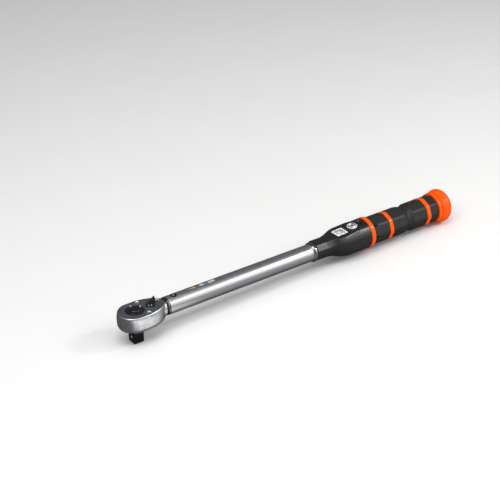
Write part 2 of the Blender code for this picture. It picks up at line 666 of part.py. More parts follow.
# ---- setting knob ---------------------------------------------------------------------
def setting_knob():
    collar = put(ring("lock_collar", 18.84, 9.0, COLLAR_X[1] - COLLAR_X[0], 36),
                 (COLLAR_X[0], 0, 0), ALONG_X)
    part(collar, ORANGE_PLASTIC)

    hub_centre = (HUB_X[0] + 1.0, 0, 0)
    hub = rolled(cylinder("knob_hub", HUB_R, HUB_X[1] - HUB_X[0] - 1.0, 6), HEX_ROLL)
    put(hub, hub_centre, ALONG_X)
    cut(hub,
        put(cylinder("hub_bore", SCREW_R, 30, 24), (420, 0, 0), ALONG_X),
        put(cylinder("hub_cross_bore", 1.3 + GAP, 30, 16), (432.0, 0, -15)))
    part(hub, BRIGHT_STEEL, SCREW)
    part(put(cylinder("hub_pin", 1.3, 12.0, 16), (432.0, 0, -6.0)), BLACK_STEEL, SCREW)

    start, end = KNOB_X
    profile = [(end, 0), (end, 15.5), (end - 0.7, 18.0), (end - 2.4, 20.0), (end - 5.5, KNOB_R),
               (end - 8.5, 20.7), (start + 3.0, 19.7), (start + 0.6, 19.2), (start, 18.7), (start, 0)]
    knob = put(turned("setting_knob", profile, 36), (0, 0, 0), ALONG_X)
    cut(knob,
        put(rolled(cylinder("hub_socket", HUB_R + 0.4, 12.6, 6), HEX_ROLL), (start - 0.5, 0, 0), ALONG_X),
        put(rolled(cylinder("cap_seat", 12.3, 4.0, 32), 1.7), (end - 1.8, 0, 0), ALONG_X))
    part(knob, ORANGE_PLASTIC, KNOB)
    cap = turned("knob_cap", [(1.5, 0), (1.5, 11.5), (1.0, 12.0), (0, 12.0), (0, 0)], 32)
    part(put(cap, (end - 1.5, 0, 0), ALONG_X), ORANGE_PLASTIC, KNOB)


ratchet_head()
cover_plate()
for number, (screw_x, screw_y) in enumerate(COVER_SCREWS, 1):
    cover_screw(number, screw_x, screw_y)
square_drive()
release_button()
reverse_lever()
pawl()
neck_rings()
click_mechanism()
setting_screw()
thrust_bearing()
tube()
housing()
grip()
setting_knob()
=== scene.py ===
"""Looks of the click-type torque wrench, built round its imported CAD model.

Shapes are made in millimetres.  x and y are measured from the square drive's axis and z from
the tube's axis, until piece() moves a finished mesh into the frame, in metres.
"""
import json
import math

import bmesh
import bpy
import numpy as np
from mathutils import Euler, Matrix, Quaternion, Vector

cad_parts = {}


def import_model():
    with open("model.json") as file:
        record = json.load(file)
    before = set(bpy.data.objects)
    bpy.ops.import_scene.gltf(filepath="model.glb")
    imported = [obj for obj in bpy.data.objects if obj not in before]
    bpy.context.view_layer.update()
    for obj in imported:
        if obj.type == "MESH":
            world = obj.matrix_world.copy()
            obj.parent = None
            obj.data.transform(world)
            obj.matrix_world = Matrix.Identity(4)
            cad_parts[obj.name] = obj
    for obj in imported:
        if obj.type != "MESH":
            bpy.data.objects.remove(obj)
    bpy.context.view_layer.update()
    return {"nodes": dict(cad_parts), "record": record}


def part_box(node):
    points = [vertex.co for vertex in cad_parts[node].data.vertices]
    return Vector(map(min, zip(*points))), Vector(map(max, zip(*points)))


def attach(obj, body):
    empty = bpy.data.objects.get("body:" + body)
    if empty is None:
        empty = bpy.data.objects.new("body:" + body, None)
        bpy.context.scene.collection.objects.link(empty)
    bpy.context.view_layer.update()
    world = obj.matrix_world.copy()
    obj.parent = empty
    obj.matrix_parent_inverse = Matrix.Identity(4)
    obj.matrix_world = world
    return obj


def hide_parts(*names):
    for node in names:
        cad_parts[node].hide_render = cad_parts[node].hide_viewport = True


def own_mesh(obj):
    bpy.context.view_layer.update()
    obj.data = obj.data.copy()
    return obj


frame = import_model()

MM = 0.001
SCENE = bpy.context.scene


# ---- places and sizes, from the frame ----------------------------------------------------
def span(node, axis):
    """Lowest and highest coordinate of a CAD node along one axis (0, 1 or 2)."""
    low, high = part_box(node)
    shift = AXIS_Z if axis == 2 else 0.0
    return low[axis] / MM - shift, high[axis] / MM - shift


AXIS_Z = sum(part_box("tube")[side][2] for side in (0, 1)) / 2 / MM
TUBE_X, TUBE_R = span("tube", 0), span("tube", 1)[1]
TUBE_BORE = TUBE_R - 1.8
PLATE_X, PLATE_HALF = span("cover_plate", 0), span("cover_plate", 1)[1]
PLATE_Z = span("cover_plate", 2)
HEAD_X, HEAD_HALF, HEAD_Z = span("ratchet_head", 0), span("ratchet_head", 1)[1], span("ratchet_head", 2)
SEAT_GAP = 0.3                                  # clearance round a piece in its seat
PLATE_R = PLATE_HALF + SEAT_GAP                 # round front of the plate's seat
PLATE_CENTRE_X = PLATE_X[0] - SEAT_GAP + PLATE_R
TAPER_X = 5.0                                   # where the plate starts to narrow
TAPER_LENGTH = PLATE_X[1] + SEAT_GAP - TAPER_X
RIM = HEAD_HALF - PLATE_R                       # head's rim round the plate
SCREW_R = (span("cover_screw_1", 0)[1] - span("cover_screw_1", 0)[0]) / 2
LEVER_X = sum(span("reverse_lever", 0)) / 2 + 0.15
BUTTON_R = span("release_button", 1)[1]
PIVOT_X = sum(span("pivot_pin", 0)) / 2
PIN_R = span("pivot_pin", 1)[1]
NECK_END_X = span("neck_seal_front", 0)[0] - 0.7
NOSE_X, HOUSING_END_X = span("housing", 0)
HOUSING_BORE = TUBE_R + 0.3
WINDOW_X, WINDOW_HALF = span("window_lens", 0), span("window_lens", 1)[1]
WINDOW_LENGTH = WINDOW_X[1] - WINDOW_X[0]
WINDOW_AT = (sum(WINDOW_X) / 2, 0, sum(span("window_lens", 2)) / 2)
WINDOW_TILT = (0, -3.6, 0)                      # degrees about X, Y and Z
EMBLEM_X, EMBLEM_R = sum(span("lock_emblem", 0)) / 2, span("lock_emblem", 1)[1]
EMBLEM_AT = (EMBLEM_X, 0, sum(span("lock_emblem", 2)) / 2)
EMBLEM_TILT = (0, -4.5, 0)
KNOB_X, KNOB_R = span("setting_knob", 0), span("setting_knob", 1)[1]


# ---- meshes ------------------------------------------------------------------------------
def linked(name, mesh):
    thing = bpy.data.objects.new(name, mesh)
    SCENE.collection.objects.link(thing)
    return thing


def from_bmesh(name, bm):
    mesh = bpy.data.meshes.new(name)
    bm.to_mesh(mesh)
    bm.free()
    return linked(name, mesh)


def skin(name, rings, loop=False):
    """A closed surface through rings of points: capped at both ends, or joined end to end."""
    rings = np.asarray(rings, float)
    count, around = rings.shape[:2]
    faces = []
    for row in range(count if loop else count - 1):
        here, there = row * around, (row + 1) % count * around
        for column in range(around):
            after = (column + 1) % around
            faces.append((here + column, here + after, there + after, there + column))
    if not loop:
        faces.append(tuple(range(around)))
        faces.append(tuple(range((count - 1) * around, count * around)))
    mesh = bpy.data.meshes.new(name)
    mesh.from_pydata(rings.reshape(-1, 3).tolist(), [], faces)
    return outward(linked(name, mesh))


def outward(thing):
    bm = bmesh.new()
    bm.from_mesh(thing.data)
    bmesh.ops.recalc_face_normals(bm, faces=bm.faces)
    bm.to_mesh(thing.data)
    bm.free()
    return thing


def softened(points, closed, steps=4):
    """An outline whose corners (x, y, size) are rounded off; a corner of size 0 stays sharp."""
    count = len(points)
    line = []
    for index, point in enumerate(points):
        size = point[2] if len(point) > 2 else 0.0
        here = Vector(point[:2])
        at_end = not closed and index in (0, count - 1)
        if size <= 0 or at_end:
            line.append(tuple(here))
            continue
        before = Vector(points[index - 1][:2]) - here
        after = Vector(points[(index + 1) % count][:2]) - here
        start = here + before.normalized() * min(size, before.length * 0.48)
        end = here + after.normalized() * min(size, after.length * 0.48)
        for step in range(steps + 1):
            t = step / steps
            line.append(tuple(start * (1 - t) ** 2 + here * (2 * t * (1 - t)) + end * t ** 2))
    return line


def around(along, radius, steps, axis):
    """A ring of points at one place along an axis; radius may hold one value per point."""
    angles = np.linspace(0, 2 * math.pi, steps, endpoint=False)
    side, up = radius * np.cos(angles), radius * np.sin(angles)
    height = np.full(steps, float(along))
    return np.stack((height, side, up) if axis == "X" else (side, up, height), axis=1)


def turned(name, profile, steps=96, axis="X", hollow=False):
    """A profile of (along, radius, corner size) swept about an axis."""
    line = softened(profile, hollow)
    return skin(name, [around(along, radius, steps, axis) for along, radius in line], hollow)


def extruded(name, outline, low, high, edge=0.0, edge_steps=3):
    """An outline's solid between two heights, with its edges rounded by edge."""
    bm = bmesh.new()
    face = bm.faces.new([bm.verts.new((x, y, low)) for x, y in outline])
    raised = bmesh.ops.extrude_face_region(bm, geom=[face])["geom"]
    top = [item for item in raised if isinstance(item, bmesh.types.BMVert)]
    bmesh.ops.translate(bm, verts=top, vec=(0, 0, high - low))
    bmesh.ops.recalc_face_normals(bm, faces=bm.faces)
    if edge:
        rims = [e for e in bm.edges if abs(e.verts[0].co.z - e.verts[1].co.z) < 1e-6]
        bmesh.ops.bevel(bm, geom=rims, offset=edge, segments=edge_steps, profile=0.5, affect="EDGES")
    return from_bmesh(name, bm)


def slanted(name, height, rise_x, rise_y):
    """A block whose underside is a plane: height at the origin, rising along x and y."""
    corners = [(-30, -30), (30, -30), (30, 30), (-30, 30)]
    return skin(name, [[(x, y, height + rise_x * x + rise_y * y) for x, y in corners],
                       [(x, y, 90.0) for x, y in corners]])


def moved(thing, at=(0, 0, 0), turn=(0, 0, 0)):
    """Turn thing's mesh by angles in degrees about its origin, then move it."""
    spin = Euler([math.radians(angle) for angle in turn]).to_matrix().to_4x4()
    thing.data.transform(Matrix.Translation(at) @ spin)
    return thing


def baked(thing):
    """Replace thing's mesh by what its modifiers make of it."""
    graph = bpy.context.evaluated_depsgraph_get()
    mesh = bpy.data.meshes.new_from_object(thing.evaluated_get(graph))
    thing.modifiers.clear()
    thing.data = mesh
    return thing


def combined(thing, others, operation):
    for other in others:
        boolean = thing.modifiers.new("combine", "BOOLEAN")
        boolean.operation = operation
        boolean.solver = "EXACT"
        boolean.object = other
        baked(thing)
        bpy.data.objects.remove(other)
    return thing


def cut(thing, *cutters):
    return combined(thing, cutters, "DIFFERENCE")


def fused(thing, *others):
    return combined(thing, others, "UNION")


def eased(thing, width, segments=2, angle=30):
    """Round off thing's sharp edges."""
    bevel = thing.modifiers.new("ease", "BEVEL")
    bevel.width = width
    bevel.segments = segments
    bevel.limit_method = "ANGLE"
    bevel.angle_limit = math.radians(angle)
    bevel.use_clamp_overlap = True
    return baked(thing)


def melted(thing, voxel, passes):
    """Remesh overlapping shapes into one skin and smooth it, as a casting is."""
    remesh = thing.modifiers.new("remesh", "REMESH")
    remesh.mode = "VOXEL"
    remesh.voxel_size = voxel
    smooth = thing.modifiers.new("smooth", "SMOOTH")
    smooth.factor = 0.5
    smooth.iterations = passes
    return baked(thing)


def merged(thing, *others):
    """Put other meshes into thing's mesh as they are."""
    bm = bmesh.new()
    for source in (thing, *others):
        bm.from_mesh(source.data)
    bm.to_mesh(thing.data)
    bm.free()
    for other in others:
        bpy.data.objects.remove(other)
    return thing


def coil(name, radius, wire, start, end, turns, axis="X"):
    """A spring of round wire with closed end turns, as one smooth tube."""
    per_turn, sides = 40, 12
    count = turns * per_turn + 1
    share = np.linspace(0, 1, count)
    angle = share * turns * 2 * math.pi
    closing = 0.8 / turns
    eased_share = np.clip((share - closing) / (1 - 2 * closing), 0, 1)
    height = start + wire + (end - start - 2 * wire) * (0.12 * share + 0.88 * eased_share)
    flat = np.stack((radius * np.cos(angle), radius * np.sin(angle)), axis=1)
    out = flat / radius
    rings = []
    for index in range(count):
        swing = np.linspace(0, 2 * math.pi, sides, endpoint=False)
        across = flat[index] + np.outer(wire * np.cos(swing), out[index])
        up = height[index] + wire * np.sin(swing)
        columns = (up, across[:, 0], across[:, 1]) if axis == "X" else (across[:, 0], across[:, 1], up)
        rings.append(np.stack(columns, axis=1))
    return skin(name, rings)


def lettering(name, text, size, at, depth=0.05, turn=(0, 0, 0), stretch=1.0):
    """Plain printed characters, centred on a point."""
    curve = bpy.data.curves.new(name, "FONT")
    curve.body = text
    curve.size = size
    curve.extrude = depth / 2
    curve.align_x = "CENTER"
    curve.align_y = "CENTER"
    curve.resolution_u = 6
    guide = linked(name + "_guide", curve)
    bpy.context.view_layer.update()
    mesh = bpy.data.meshes.new_from_object(guide.evaluated_get(bpy.context.evaluated_depsgraph_get()))
    bpy.data.objects.remove(guide)
    mesh.transform(Matrix.Diagonal((stretch, 1, 1, 1)))
    return moved(linked(name, mesh), at, turn)


def arc(centre, radius, start, end, count):
    """Points along an arc, angles in degrees, both ends included."""
    angles = np.radians(np.linspace(start, end, count + 1))
    return [(centre[0] + radius * math.cos(a), centre[1] + radius * math.sin(a)) for a in angles]


def arc_band(centre, outer, inner, start, end, count):
    """Outline of a part of a flat ring."""
    return arc(centre, outer, start, end, count) + arc(centre, inner, end, start, count)


def oblong(low_x, high_x, low_y, high_y, corner=0.0):
    """Outline of a rectangle with rounded corners."""
    return softened([(low_x, low_y, corner), (high_x, low_y, corner), (high_x, high_y, corner),
                     (low_x, high_y, corner)], True)


def smoothstep(value, low, high):
    t = np.clip((value - low) / (high - low), 0, 1)
    return t * t * (3 - 2 * t)


def soft_least(first, second, sharpness):
    """The smaller of two radii, rounded where they meet."""
    return (first ** -sharpness + second ** -sharpness) ** (-1 / sharpness)


# ---- materials ---------------------------------------------------------------------------
def new_node(tree, kind, **values):
    node = tree.nodes.new(kind)
    for key, value in values.items():
        if key in node.inputs:
            node.inputs[key].default_value = value
        else:
            setattr(node, key, value)
    return node


def noise(tree, coordinates, per_mm, detail=3.0):
    """A noise texture with per_mm cells in a millimetre."""
    mapping = new_node(tree, "ShaderNodeMapping", Scale=(1 / MM, 1 / MM, 1 / MM))
    tree.links.new(coordinates, mapping.inputs["Vector"])
    texture = new_node(tree, "ShaderNodeTexNoise", Scale=per_mm, Detail=detail, Roughness=0.6)
    tree.links.new(mapping.outputs["Vector"], texture.inputs["Vector"])
    return texture.outputs["Fac"]


def remap(tree, value, low, high, from_low=0.3, from_high=0.7):
    node = new_node(tree, "ShaderNodeMapRange")
    tree.links.new(value, node.inputs["Value"])
    for key, number in (("From Min", from_low), ("From Max", from_high), ("To Min", low), ("To Max", high)):
        node.inputs[key].default_value = number
    return node.outputs["Result"]


def blended(tree, share, first, second):
    """A colour that goes from first to second; either is a colour or an output."""
    node = new_node(tree, "ShaderNodeMix", data_type="RGBA")
    tree.links.new(share, node.inputs["Factor"])
    for socket, value in zip((node.inputs[6], node.inputs[7]), (first, second)):
        if isinstance(value, tuple):
            socket.default_value = (*value, 1)
        else:
            tree.links.new(value, socket)
    return node.outputs[2]


def finish(name, colour, roughness, metallic=0.0, tint=0.12, patch=0.12, rough_spread=0.05,
           grain=4.0, height=0.004, worn=None, alpha=1.0, specular=0.5, smooth_top=False):
    """A surface with cloudy colour and gloss, a fine grain, and paler worn edges if asked.

    patch and grain are the noise's cells per millimetre, and height is the grain's depth in
    millimetres.  worn is the colour of worn edges and their share.  smooth_top fades the grain
    where the surface faces up.
    """
    material = bpy.data.materials.new(name)
    material.use_nodes = True
    tree = material.node_tree
    shader = tree.nodes["Principled BSDF"]
    shader.inputs["Metallic"].default_value = metallic
    shader.inputs["Alpha"].default_value = alpha
    shader.inputs["Specular IOR Level"].default_value = specular
    coordinates = new_node(tree, "ShaderNodeTexCoord").outputs["Object"]
    cloud = noise(tree, coordinates, patch, 4.0)
    dark = tuple(c * (1 - tint) for c in colour)
    light = tuple(min(1.0, c * (1 + tint)) for c in colour)
    shade = blended(tree, remap(tree, cloud, 0, 1), dark, light)
    if worn:
        worn_colour, amount = worn
        edges = new_node(tree, "ShaderNodeNewGeometry").outputs["Pointiness"]
        scuffs = remap(tree, noise(tree, coordinates, 0.9, 4.0), 0.0, 1.0, 0.42, 0.6)
        rubbed = new_node(tree, "ShaderNodeMath", operation="MULTIPLY")
        tree.links.new(remap(tree, edges, 0.0, amount, 0.52, 0.60), rubbed.inputs[0])
        tree.links.new(scuffs, rubbed.inputs[1])
        shade = blended(tree, rubbed.outputs[0], shade, worn_colour)
    tree.links.new(shade, shader.inputs["Base Color"])
    mottle = noise(tree, coordinates, patch * 5, 5.0)
    tree.links.new(remap(tree, mottle, roughness - rough_spread, roughness + rough_spread),
                   shader.inputs["Roughness"])
    bump = new_node(tree, "ShaderNodeBump", Strength=1.0, Distance=height * MM)
    tree.links.new(noise(tree, coordinates, grain), bump.inputs["Height"])
    if smooth_top:
        facing = new_node(tree, "ShaderNodeSeparateXYZ")
        tree.links.new(new_node(tree, "ShaderNodeNewGeometry").outputs["Normal"], facing.inputs["Vector"])
        tree.links.new(remap(tree, facing.outputs["Z"], 1.0, 0.08, 0.93, 0.985), bump.inputs["Strength"])
    tree.links.new(bump.outputs["Normal"], shader.inputs["Normal"])
    return material


FINISH_SETTINGS = {
    "satin_chrome": dict(colour=(0.64, 0.65, 0.67), roughness=0.34, metallic=1.0, tint=0.04, grain=5.0,
                         height=0.0006, rough_spread=0.03),
    "cast_chrome": dict(colour=(0.68, 0.69, 0.71), roughness=0.33, metallic=1.0, tint=0.14, patch=0.25,
                        grain=0.9, height=0.07, rough_spread=0.09),
    "slate_steel": dict(colour=(0.062, 0.070, 0.078), roughness=0.46, metallic=0.30, tint=0.08, grain=6.0,
                        height=0.005, worn=((0.22, 0.23, 0.25), 0.5)),
    "black_steel": dict(colour=(0.010, 0.010, 0.011), roughness=0.33, metallic=0.2, height=0.003,
                        worn=((0.16, 0.16, 0.17), 0.5)),
    "black_nickel": dict(colour=(0.33, 0.33, 0.34), roughness=0.20, metallic=1.0, tint=0.06, grain=5.0,
                         height=0.0008),
    "bright_steel": dict(colour=(0.66, 0.66, 0.67), roughness=0.20, metallic=1.0, tint=0.06, grain=7.0,
                         height=0.0008),
    # Pale steel: the screw heads' own finish, and a painted glint on the circlip ears and the lever's rods.
    "bare_steel_and_painted_glint": dict(colour=(0.62, 0.62, 0.62), roughness=0.45, metallic=0.5, tint=0.08, grain=3.0,
                       height=0.003),
    "spring_steel": dict(colour=(0.20, 0.21, 0.23), roughness=0.32, metallic=1.0, tint=0.1, grain=7.0,
                         height=0.001),
    "brass": dict(colour=(0.60, 0.42, 0.16), roughness=0.33, metallic=1.0, tint=0.08, grain=5.0,
                  height=0.002),
    "black_plastic": dict(colour=(0.0125, 0.0125, 0.013), roughness=0.27, tint=0.08, grain=2.0,
                          height=0.007, worn=((0.07, 0.07, 0.07), 0.5), smooth_top=True),
    "black_rubber": dict(colour=(0.019, 0.019, 0.0185), roughness=0.46, tint=0.10, grain=2.0,
                         height=0.013, worn=((0.055, 0.055, 0.053), 0.6), specular=0.35),
    "orange_plastic": dict(colour=(1.0, 0.092, 0.001), roughness=0.22, tint=0.03, grain=1.6,
                           height=0.003, specular=0.22),
    "clear_plastic": dict(colour=(0.85, 0.88, 0.90), roughness=0.06, tint=0.02, grain=0.8, height=0.001,
                          rough_spread=0.02, alpha=0.07),
    "white_plastic": dict(colour=(0.84, 0.84, 0.83), roughness=0.42, tint=0.03, grain=3.0, height=0.003),
    # Black print, also used as painted shade at the foot of the screw recesses.
    "black_print_and_painted_shade": dict(colour=(0.010, 0.010, 0.010), roughness=0.5, tint=0.05, grain=3.0),
    "red_print": dict(colour=(0.70, 0.012, 0.010), roughness=0.45, tint=0.05, grain=3.0),
    "orange_print": dict(colour=(0.75, 0.24, 0.05), roughness=0.45, tint=0.06, grain=3.0),
    "white_print": dict(colour=(0.85, 0.84, 0.82), roughness=0.45, tint=0.05, grain=3.0),
}
FINISHES = {name: finish(name, **settings) for name, settings in FINISH_SETTINGS.items()}


def piece(thing, body, slot=None, look=None, stands_for=(), sharp=32):
    """Move a finished mesh into the frame, give it the finish named by look or else by slot, attach it to
    its body and hide the CAD node it stands for.
    """
    thing.data.transform(Matrix.Translation((0, 0, AXIS_Z * MM)) @ Matrix.Scale(MM, 4))
    thing.data.materials.clear()
    thing.data.materials.append(FINISHES[look or slot])
    thing.data.shade_smooth()
    thing.data.set_sharp_from_angle(angle=math.radians(sharp))
    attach(thing, body)
    if stands_for:
        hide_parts(*([stands_for] if isinstance(stands_for, str) else stands_for))
    return thing


# ---- ratchet head ------------------------------------------------------------------------
def pear(offset, front_count=48, rear_count=56):
    """The head's outline: a half circle, straight sides, and a half ellipse to the neck."""
    radius = PLATE_R + offset
    length = TAPER_LENGTH + offset * 0.2
    front = arc((PLATE_CENTRE_X, 0), radius, 90, 270, front_count)
    rear = []
    for angle in np.radians(np.linspace(-90, 90, rear_count + 1)):
        rear.append((TAPER_X + length * math.cos(angle), radius * math.sin(angle)))
    return front + rear


def ratchet_head():
    top, floor_z = PLATE_Z[1] - 0.15, HEAD_Z[0] + 2.3
    round_r, shoulder = 6.8, 8.5
    neck_r, tongue_r, tail_r = 10.3, 7.8, 5.2
    wheel_r, pawl_r, shaft_r, pawl_x = 13.3, 8.6, 2.9, 18.5
    sides = []
    for degrees in range(0, 91, 10):
        angle = math.radians(degrees)
        sides.append((top - shoulder * (1 - math.cos(angle)), 0.3 + (RIM - 0.3) * math.sin(angle)))
    sides.append((floor_z + round_r, RIM - 0.1))
    for degrees in range(10, 91, 10):
        angle = math.radians(degrees)
        sides.append((floor_z + round_r * (1 - math.sin(angle)),
                      RIM - 0.1 - round_r * (1 - math.cos(angle))))
    rings = [[(x, y, z) for x, y in pear(offset)] for z, offset in sides]
    head = skin("ratchet_head", rings)
    tail_end = HEAD_X[1]
    neck = turned("neck", [(24, 7.0), (27, neck_r, 1.0), (NECK_END_X - 0.6, neck_r, 0.8),
                           (NECK_END_X - 0.4, tongue_r, 0.4), (58, tongue_r, 1.0), (62, tail_r, 1.0),
                           (tail_end, tail_r, 0.6), (tail_end, 2.0)])
    boss = turned("boss", [(floor_z + 4, 13.0), (floor_z - 1.1, 13.0, 0.6), (HEAD_Z[0], 11.8, 0.8),
                           (HEAD_Z[0], 9.0)], axis="Z")
    merged(head, neck, boss)
    melted(head, 0.5, 7)
    seat_z = PLATE_Z[0] - SEAT_GAP
    cut(head, extruded("plate_seat", pear(0), seat_z, seat_z + 8))
    cut(head,
        turned("wheel_cavity", [(-9.5, wheel_r), (12, wheel_r)], axis="Z"),
        turned("drive_bore", [(-16, 9.9), (-13.3, 9.3, 0.4), (-6, 9.3)], axis="Z"),
        moved(turned("pawl_chamber", [(-9.5, pawl_r), (12, pawl_r)], axis="Z"), (pawl_x, 0, 0)),
        moved(turned("lever_seat", [(-10.8, shaft_r), (-6, shaft_r)], 48, "Z"), (LEVER_X, 0, 0)),
        moved(turned("pivot_bore", [(-12, PIN_R + 0.3), (12, PIN_R + 0.3)], 64, "Z"), (PIVOT_X, 0, 0)),
        moved(turned("block_groove", [(-7, 3.55), (7, 3.55)], 64, "Z"), (tail_end + 0.4, 0, 0)))
    piece(head, "head", "satin_chrome", "cast_chrome", "ratchet_head", 40)


def screw_places():
    """Centre of each cover screw, from its CAD node."""
    return [(sum(span(f"cover_screw_{n}", 0)) / 2, sum(span(f"cover_screw_{n}", 1)) / 2) for n in (1, 2, 3)]


def cover_plate():
    low, high = PLATE_Z
    plate = extruded("cover_plate", pear(-SEAT_GAP), low, high, 0.22)
    holes = [turned("boss_hole", [(low - 1, 10.8), (high - 0.3, 10.8), (high + 0.2, 11.3)], axis="Z"),
             moved(turned("lever_hole", [(low - 1, 2.9), (high + 1, 2.9)], 48, "Z"), (LEVER_X, 0, 0))]
    for x, y in screw_places():
        hole = turned("screw_hole", [(low - 1, SCREW_R + 0.25), (high - 0.15, SCREW_R + 0.25),
                                     (high + 0.2, SCREW_R + 0.55)], 64, "Z")
        holes.append(moved(hole, (x, y, 0)))
    cut(plate, *holes)
    piece(plate, "head", "slate_steel", None, "cover_plate")
    for number, (x, y) in enumerate(screw_places(), 1):
        cover_screw(number, (x, y, 0))


def cover_screw(number, at):
    """A countersunk head with a dished recess, and a black disc at the recess's foot that is painted shade.
    """
    name = f"cover_screw_{number}"
    bottom, top = span(name, 2)
    shank_r, recess, painted_shade_r = 1.0, top - 0.75, SCREW_R - 1.02
    profile = [(bottom, 0.4), (bottom, shank_r, 0.2), (top - 1.6, shank_r, 0.1), (top - 1.1, SCREW_R, 0.1),
               (top + 0.05, SCREW_R, 0.08), (top + 0.05, SCREW_R - 0.12, 0.04),
               (recess, SCREW_R - 1.0, 0.1), (recess, 0.5)]
    screw = turned(name, profile, 64, "Z")
    socket = turned("socket", [(top - 1.4, 0.95), (top + 0.3, 0.95)], 6, "Z")
    moved(socket, turn=(0, 0, 20 + 25 * number))
    # A black disc at the foot of the recess: painted shade for the shadow deep in the screw head.
    disc = turned(f"screw_painted_shade_{number}", [(top - 0.74, 0.5), (top - 0.74, painted_shade_r), (top - 0.66, painted_shade_r),
                                             (top - 0.66, 0.5)], 48, "Z")
    cut(screw, socket)
    piece(moved(screw, at), "head", "bright_steel", "bare_steel_and_painted_glint", name)
    piece(moved(disc, at), "head", None, "black_print_and_painted_shade")


def rounded_square(half, corner, height, corner_steps=6):
    """A ring of points round a square with rounded corners."""
    outline = []
    for quarter in range(4):
        angle = 90 * quarter + 45
        sign_x = 1 if quarter in (0, 3) else -1
        sign_y = 1 if quarter in (0, 1) else -1
        centre = (sign_x * (half - corner), sign_y * (half - corner))
        outline += arc(centre, corner, angle - 45, angle + 45, corner_steps)
    return [(x, y, height) for x, y in outline]


def square_drive():
    """Toothed wheel, dark boss and 12.7 mm square, in one piece."""
    teeth, tip, root = 32, span("square_drive", 1)[1], 11.7
    outline = []
    for tooth in range(teeth):
        for share, radius in ((0.0, root), (0.30, tip - 0.15), (0.40, tip), (0.60, tip),
                              (0.70, tip - 0.15)):
            angle = 2 * math.pi * (tooth + share) / teeth
            outline.append((radius * math.cos(angle), radius * math.sin(angle)))
    drive = extruded("square_drive", outline, -9.2, 6.8, 0.15, 1)
    top, tip_z = PLATE_Z[1], span("square_drive", 2)[0]
    core = turned("core", [(top, 5.0), (top, 8.3, 0.35), (7.9, 8.3, 0.1), (7.9, 10.5, 0.4), (0, 10.5),
                           (0, 9.0), (-14.4, 9.0, 0.5), (-15.2, 7.8, 0.5), (-15.2, 5.0)], axis="Z")
    half = 6.35
    rings = [rounded_square(half - 1.0, 1.0, tip_z), rounded_square(half - 0.75, 1.1, tip_z + 0.12),
             rounded_square(half - 0.1, 1.3, tip_z + 0.9), rounded_square(half, 1.3, tip_z + 1.2),
             rounded_square(half, 1.3, -12.0)]
    fused(drive, core, skin("square", rings))
    cut(drive,
        turned("button_well", [(0.3, BUTTON_R + 0.3), (top - 0.3, BUTTON_R + 0.3),
                               (top + 0.3, BUTTON_R + 0.8)], axis="Z"),
        turned("rod_bore", [(-28.2, 2.35), (12, 2.35)], 48, "Z"),
        turned("ball_bore", [(-5.9, 2.7), (-7.5, 3.1)], 48))
    cut(drive, moved(turned("ball_well", [(-1.0, 2.7), (-9.0, 2.7)], 48), (0, 0, -23)))
    piece(drive, "drive", "black_steel", None, "square_drive", 30)


def drive_circlip():
    """Snap ring with a small eared end either side of its gap; the ears are pale steel, a painted glint on
    the dark ring.
    """
    low, high = span("drive_circlip", 2)
    outer_r, inner_r, ear_r = 10.35, 8.75, 9.25
    start, end = 92.0, 376.0
    outline = arc_band((0, 0), outer_r, inner_r, start, end, 90)
    clip = extruded("drive_circlip", outline, low, high - 0.1, 0.2)
    ears = []
    for angle in (math.radians(start - 4), math.radians(end + 4)):
        ear = turned("circlip_ears", [(low, 0.9), (low, 1.1, 0.1), (high + 0.35, 1.05, 0.5),
                                      (high + 0.75, 0.5, 0.4), (high + 0.8, 0.2)], 32, "Z")
        ears.append(moved(ear, (ear_r * math.cos(angle), ear_r * math.sin(angle), 0)))
    piece(clip, "drive", "spring_steel", "black_steel", "drive_circlip")
    # The ears' pale steel, unlike the dark ring, is a painted glint standing in for highlights on the ear
    # ends.
    piece(merged(*ears), "drive", "spring_steel", "bare_steel_and_painted_glint")


def release_button():
    """Dished button and its grooved rod, with the ball and spring that go with it."""
    low, top = span("release_button", 2)
    groove = -20.5
    profile = [(low, 1.0), (low, 2.0, 0.3), (groove - 1.9, 2.0, 0.4), (groove - 0.7, 1.1, 0.5),
               (groove + 0.7, 1.1, 0.5), (groove + 1.9, 2.0, 0.4), (5.6, 2.0, 0.3), (5.6, BUTTON_R, 0.3),
               (top - 1.35, BUTTON_R, 0.4), (top - 0.45, BUTTON_R - 1.0, 0.5), (top - 0.12, 4.0, 2.0),
               (top, 0.3)]
    button = turned("release_button", profile, 96, "Z")
    piece(button, "button", "black_steel", None, "release_button", 50)
    ball_x = span("retaining_ball", 0)
    bm = bmesh.new()
    bmesh.ops.create_icosphere(bm, subdivisions=4, radius=(ball_x[1] - ball_x[0]) / 2)
    ball = from_bmesh("retaining_ball", bm)
    moved(ball, (sum(ball_x) / 2, 0, sum(span("retaining_ball", 2)) / 2))
    piece(ball, "detent_ball", "bright_steel", None, "retaining_ball", 60)
    low, high = span("button_spring", 2)
    spring = piece(coil("button_spring", 3.7, 0.4, low, high, 3, "Z"), "drive", "spring_steel", None,
                   "button_spring", 60)
    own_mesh(spring)


